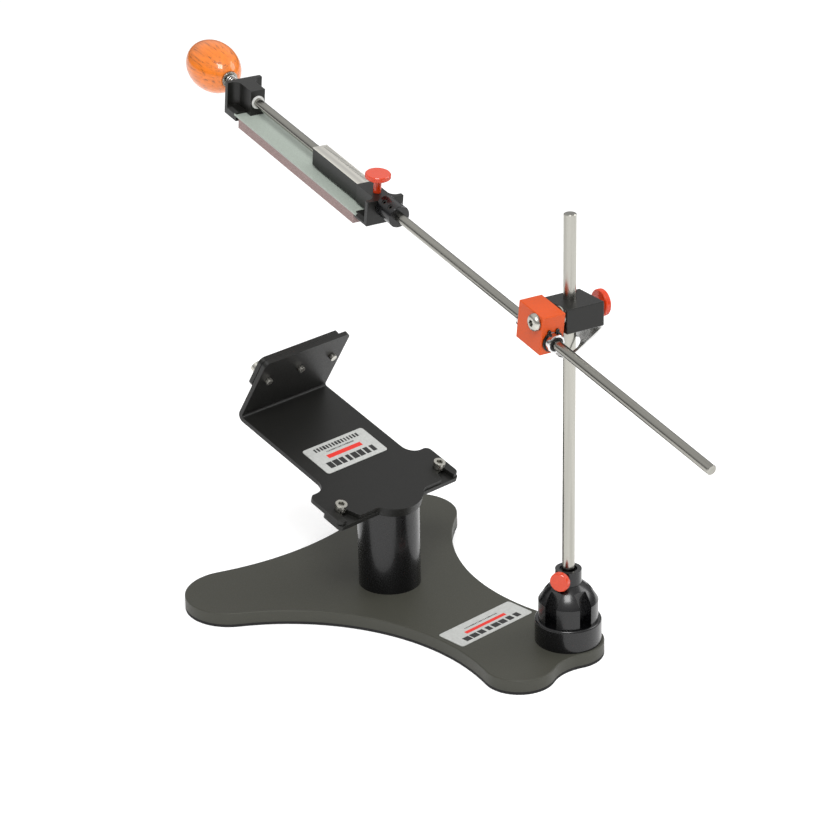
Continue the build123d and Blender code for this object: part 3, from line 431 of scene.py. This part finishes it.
class HONING_OT_stand(bpy.types.Operator):
    """Finish the base, column, bracket, cup and post"""

    bl_idname = "honing.stand"
    bl_label = "Stand"

    def execute(self, context):
        colours = context.scene.honing_finishes
        dress(coated("foot_rubber", (0.015, 0.015, 0.015), 0.8, 0.95, 700, 0.05 * MM),
              "foot_sheet")
        dress(coated("powder_coat", colours.powder, 0.42, 0.62, 1100, 0.06 * MM, speck=2.2,
                     edge=0.8 * MM), "base_plate")
        dress(coated("gloss_black", colours.gloss, 0.25, 0.28, 400, 0.002 * MM, coat=0.3,
                     edge=0.3 * MM), "column", "post_cup", "stop_collar")
        dress(coated("bracket_satin", colours.satin, 0.36, 0.50, 800, 0.03 * MM, speck=1.9,
                     edge=0.5 * MM), "bracket", "column_flange", "clamp_bar")
        dress(coated("black_oxide", (0.02, 0.02, 0.02), 0.35, 0.5, 900, 0.02 * MM),
              "column_screws", "flange_screws", "cup_screws")
        dress(turned_steel("post_steel", colours.steel, Vector((0, 0, 1))), "post")
        screw = coated("screw_steel", shade(colours.steel, 1.4), 0.22, 0.36, 600, 0.02 * MM, speck=1.1)
        screw.node_tree.nodes["Principled BSDF"].inputs["Metallic"].default_value = 1.0
        # Painted shade: the screw steel's base colour darkens in sockets and corners narrower than 1.4
        # mm.
        paint_hollow_shade(screw, 1.4 * MM)
        dress(screw, "bracket_screws", "clamp_screw_left", "clamp_screw_middle",
              "clamp_screw_right", "tilt_bolt", "thrust_washer", "knob_ferrule")
        return {"FINISHED"}


class HONING_OT_labels(bpy.types.Operator):
    """Finish the two silver labels and print generic rows on them"""

    bl_idname = "honing.labels"
    bl_label = "Labels"

    def execute(self, context):
        height = context.scene.honing_details.print_height
        silver = coated("label_silver", (0.56, 0.57, 0.55), 0.38, 0.48, 500, 0.01 * MM, speck=1.1)
        silver.node_tree.nodes["Principled BSDF"].inputs["Metallic"].default_value = 0.3
        dress(silver, "base_label", "bracket_label")
        ink = coated("ink_black", (0.02, 0.02, 0.02), *INK_ROUGHNESS, 900, 0.005 * MM, edge=0.0)
        red = coated("ink_red", (0.70, 0.03, 0.02), *INK_ROUGHNESS, 900, 0.005 * MM, edge=0.0)
        rows = row_tree()
        flat = ("base_label", Vector((0, 1, 0)), Vector((0, 0, 1)))
        rise, run = math.sin(BRACKET_SLOPE), math.cos(BRACKET_SLOPE)
        sloping = ("bracket_label", Vector((0, run, rise)), Vector((0, -rise, run)))
        for node, up, out in (flat, sloping):
            side_low, side_high = span(node, Vector((1, 0, 0)))
            low, high = span(node, up)
            top = span(node, out)[1]
            width, depth = side_high - side_low, high - low
            middle = (Vector((1, 0, 0)) * (side_low + side_high) / 2 + up * (low + high) / 2
                      + out * (top + height / 2))
            place = axes_matrix(Vector((1, 0, 0)), up, out, middle)
            # Name, place up the label, height, count, share of the width, lengths, colour.
            lines = [("title", -0.26, 0.22, 8, 0.80, (0.55, 0.92), ink),
                     ("bar", 0.02, 0.13, 1, 0.56, (1, 1), red),
                     ("note", 0.22, 0.05, 22, 0.46, (0.35, 0.8), ink)]
            if node == "bracket_label":
                lines.append(("name", 0.34, 0.13, 15, 0.74, (0.45, 0.8), ink))
                lines[2] = ("note", 0.19, 0.04, 22, 0.46, (0.35, 0.8), ink)
            for label, shift, tall, count, share, (least, most), colour in lines:
                step = width * share / count
                grow(f"{node}_{label}", rows, {
                    "Count": count, "Start": (-step * (count - 1) / 2, depth * shift, 0),
                    "Step": (step, 0, 0), "Block": (step, depth * tall, height),
                    "Least": (least, 1, 1), "Most": (most, 1, 1), "Seed": 5 + count,
                    "Material": colour}, place, "stand")
        return {"FINISHED"}


class HONING_OT_thumbscrews(bpy.types.Operator):
    """Finish the three thumbscrews and knurl their rims"""

    bl_idname = "honing.thumbscrews"
    bl_label = "Thumbscrews"

    def execute(self, context):
        details = context.scene.honing_details
        red = coated("thumb_red", context.scene.honing_finishes.thumb, 0.24, 0.27, 900,
                     0.002 * MM, coat=0.5, speck=1.05)
        rims = rim_tree()
        for name, radius, height in (("cup_thumbscrew", 7.8 * MM, 5.0 * MM),
                                     ("swivel_thumbscrew", 10.5 * MM, 5.0 * MM),
                                     ("holder_thumbscrew", 10.5 * MM, 4.3 * MM)):
            dress(red, name)
            point, along = joint_line(name + "_turn")
            top = span(name, along, point)[1]
            middle = point + along * (top - height / 2)
            size = details.knurl_size
            grow(name + "_knurl", rims, {
                "Ridges": round(2 * math.pi * radius / details.knurl_pitch),
                "Radius": radius - size * 0.35, "Block": (size, size, height * 0.72),
                "Material": red}, axis_matrix(along, middle), name)
        return {"FINISHED"}


class HONING_OT_swivel(bpy.types.Operator):
    """Finish the swivel block, spring clip, rod housing and bearing"""

    bl_idname = "honing.swivel"
    bl_label = "Swivel and bearing"

    def execute(self, context):
        colours = context.scene.honing_finishes
        dress(coated("anodised_black", colours.satin, 0.30, 0.42, 900, 0.015 * MM,
                     edge=0.4 * MM), "swivel_block", "near_jaw", "far_jaw")
        dress(coated("orange_anodised", colours.orange, 0.34, 0.46, 900, 0.015 * MM,
                     edge=0.4 * MM, speck=1.1), "rod_housing")
        dress(turned_steel("clip_steel", SPRING_STEEL, ROD_ALONG, 0.16, 0.28),
              "spring_clip")
        dress(turned_steel("bearing_steel", (0.66, 0.66, 0.66), ROD_ALONG, 0.08, 0.16),
              "bearing_sleeve")
        dress(coated("seal_black", (0.012, 0.012, 0.012), 0.5, 0.7, 600, 0.02 * MM),
              "bearing_seals", "bearing_cage")
        dark = coated("circlip_dark", (0.07, 0.068, 0.065), 0.28, 0.4, 600, 0.01 * MM)
        dark.node_tree.nodes["Principled BSDF"].inputs["Metallic"].default_value = 1.0
        # Painted shade: the dark metal's base colour darkens in sockets and corners narrower than 2
        # mm.
        paint_hollow_shade(dark, 2 * MM)
        dress(dark, "circlips", "collar_set_screws")
        return {"FINISHED"}


class HONING_OT_holder(bpy.types.Operator):
    """Finish the rod, stone, blank and gauge plate, and engrave the gauge plate"""

    bl_idname = "honing.holder"
    bl_label = "Rod and stone holder"

    def execute(self, context):
        colours = context.scene.honing_finishes
        dress(turned_steel("rod_steel", shade(colours.steel, 0.85), ROD_ALONG), "guide_rod")
        dress(abrasive(colours.stone), "whetstone")
        dress(coated("blank_alu", (0.40, 0.45, 0.40), 0.40, 0.52, 700, 0.01 * MM, speck=1.1),
              "stone_blank")
        dress(coated("bush_white", (0.72, 0.72, 0.70), 0.30, 0.40, 500, 0.01 * MM, speck=1.1),
              "far_jaw_bush")
        holder_spring(turned_steel("spring_steel", SPRING_STEEL, ROD_ALONG, 0.16, 0.28))
        plate = turned_steel("gauge_steel", (0.78, 0.76, 0.70), ROD_ALONG, 0.34, 0.46)
        dress(plate, "gauge_plate")
        dark = coated("engraved_dark", (0.05, 0.05, 0.045), 0.6, 0.7, 900, 0.005 * MM, edge=0.0)
        count = context.scene.honing_details.mark_count
        height = context.scene.honing_details.print_height
        near, far = span("gauge_plate", ROD_ALONG, ROD_POINT)
        top = span("gauge_plate", ROD_UP, ROD_POINT)[1]
        low, high = span("gauge_plate", ROD_ACROSS, ROD_POINT)
        middle = (ROD_POINT + ROD_ALONG * (near + far) / 2 + ROD_ACROSS * (low + high) / 2
                  + ROD_UP * (top + height / 2))
        width, step = high - low, (far - near) * 0.9 / (count - 1)
        grow("gauge_marks", row_tree(), {
            "Count": count, "Start": (-step * (count - 1) / 2, width * 0.27, 0),
            "Step": (step, 0, 0), "Block": (0.5 * MM, width * 0.34, height),
            "Least": (1, 0.55, 1), "Most": (1, 1, 1), "Seed": 3, "Material": dark},
            axes_matrix(ROD_ALONG, ROD_ACROSS, ROD_UP, middle), "guide_rod")
        return {"FINISHED"}


class HONING_OT_knob(bpy.types.Operator):
    """Finish the egg-shaped wooden knob"""

    bl_idname = "honing.knob"
    bl_label = "Knob"

    def execute(self, context):
        dress(lacquered_wood(context.scene.honing_finishes.wood), "knob")
        return {"FINISHED"}


def graded_sky(world, strength):
    """White behind the object, and dark at eye level to what steel reflects, so it shows bands."""
    nodes, links = world.node_tree.nodes, world.node_tree.links
    place = nodes.new("ShaderNodeTexCoord")
    split = nodes.new("ShaderNodeSeparateXYZ")
    ramp = nodes.new("ShaderNodeValToRGB")
    elements = ramp.color_ramp.elements
    elements[0].position, elements[0].color = 0.05, (0.10, 0.10, 0.105, 1)
    elements[1].position, elements[1].color = 0.50, (1.0, 1.0, 1.0, 1)
    links.new(place.outputs["Generated"], split.inputs[0])
    links.new(split.outputs["Z"], ramp.inputs["Fac"])
    links.new(ramp.outputs["Color"], nodes["Background"].inputs["Color"])
    nodes["Background"].inputs["Strength"].default_value = strength
    backdrop = nodes.new("ShaderNodeBackground")
    backdrop.inputs["Color"].default_value = (1, 1, 1, 1)
    seen = nodes.new("ShaderNodeLightPath")
    choose = nodes.new("ShaderNodeMixShader")
    links.new(seen.outputs["Is Camera Ray"], choose.inputs[0])
    links.new(nodes["Background"].outputs[0], choose.inputs[1])
    links.new(backdrop.outputs[0], choose.inputs[2])
    links.new(choose.outputs[0], nodes["World Output"].inputs["Surface"])


class HONING_OT_stage(bpy.types.Operator):
    """Lay a pale floor and set the lights and camera"""

    bl_idname = "honing.stage"
    bl_label = "Studio"

    def execute(self, context):
        studio = context.scene.honing_studio
        side = FLOOR_REACH
        mesh = bpy.data.meshes.new("floor")
        mesh.from_pydata([(-side, -side, 0), (side, -side, 0), (side, side, 0), (-side, side, 0)],
                         [], [(0, 1, 2, 3)])
        floor = bpy.data.objects.new("floor", mesh)
        context.scene.collection.objects.link(floor)
        pale = new_material("floor_pale", (0.92, 0.92, 0.92), roughness=0.7)
        vary_roughness(pale, pattern(pale, 40.0), 0.65, 0.8)
        glow = pale.node_tree.nodes["Principled BSDF"].inputs
        glow["Emission Color"].default_value = (1, 1, 1, 1)
        glow["Emission Strength"].default_value = studio.glow
        mesh.materials.append(pale)
        world = bpy.data.worlds.new("studio")
        world.use_nodes = True
        graded_sky(world, studio.sky)
        context.scene.world = world
        context.scene.view_settings.view_transform = "Standard"
        for name, place, size, power in (("key", (-1.0, -1.0, 2.1), 0.9, studio.key),
                                         ("fill", (1.6, -1.0, 1.3), 1.1, studio.fill)):
            light = bpy.data.lights.new(name, "AREA")
            light.size = size
            light.energy = power
            lamp = bpy.data.objects.new(name, light)
            lamp.matrix_world = axis_matrix(Vector(place) - AIM, place)
            context.scene.collection.objects.link(lamp)
        camera = bpy.data.objects.new("camera", bpy.data.cameras.new("camera"))
        camera.data.lens = studio.lens
        camera.data.sensor_width = SENSOR_WIDTH
        turn, lift = math.cos(CAMERA_ROLL), math.sin(CAMERA_ROLL)
        camera.matrix_world = axes_matrix(CAMERA_RIGHT * turn - CAMERA_UP * lift,
                                          CAMERA_RIGHT * lift + CAMERA_UP * turn,
                                          -CAMERA_AHEAD, CAMERA_PLACE)
        context.scene.collection.objects.link(camera)
        context.scene.camera = camera
        return {"FINISHED"}


class HONING_PT_panel(bpy.types.Panel):
    """Steps that finish the honing guide"""

    bl_idname = "HONING_PT_panel"
    bl_label = "Honing Guide"
    bl_space_type = "VIEW_3D"
    bl_region_type = "UI"
    bl_category = "Honing Guide"

    def draw(self, context):
        for step in STEPS:
            self.layout.operator(step.bl_idname)
        for group in (context.scene.honing_finishes, context.scene.honing_details,
                      context.scene.honing_studio):
            for name in group.bl_rna.properties.keys():
                if name not in ("rna_type", "name"):
                    self.layout.prop(group, name)


SETTINGS = (HoningFinishes, HoningDetails, HoningStudio)
STEPS = (HONING_OT_stand, HONING_OT_labels, HONING_OT_thumbscrews, HONING_OT_swivel,
         HONING_OT_holder, HONING_OT_knob, HONING_OT_stage)


def register():
    for item in SETTINGS + STEPS + (HONING_PT_panel,):
        bpy.utils.register_class(item)
    bpy.types.Scene.honing_finishes = PointerProperty(type=HoningFinishes)
    bpy.types.Scene.honing_details = PointerProperty(type=HoningDetails)
    bpy.types.Scene.honing_studio = PointerProperty(type=HoningStudio)


def unregister():
    del bpy.types.Scene.honing_finishes
    del bpy.types.Scene.honing_details
    del bpy.types.Scene.honing_studio
    for item in reversed(SETTINGS + STEPS + (HONING_PT_panel,)):
        bpy.utils.unregister_class(item)


def main():
    register()
    bpy.ops.honing.stand()
    bpy.ops.honing.labels()
    bpy.ops.honing.thumbscrews()
    bpy.ops.honing.swivel()
    bpy.ops.honing.holder()
    bpy.ops.honing.knob()
    bpy.ops.honing.stage()


if __name__ == "__main__":
    main()
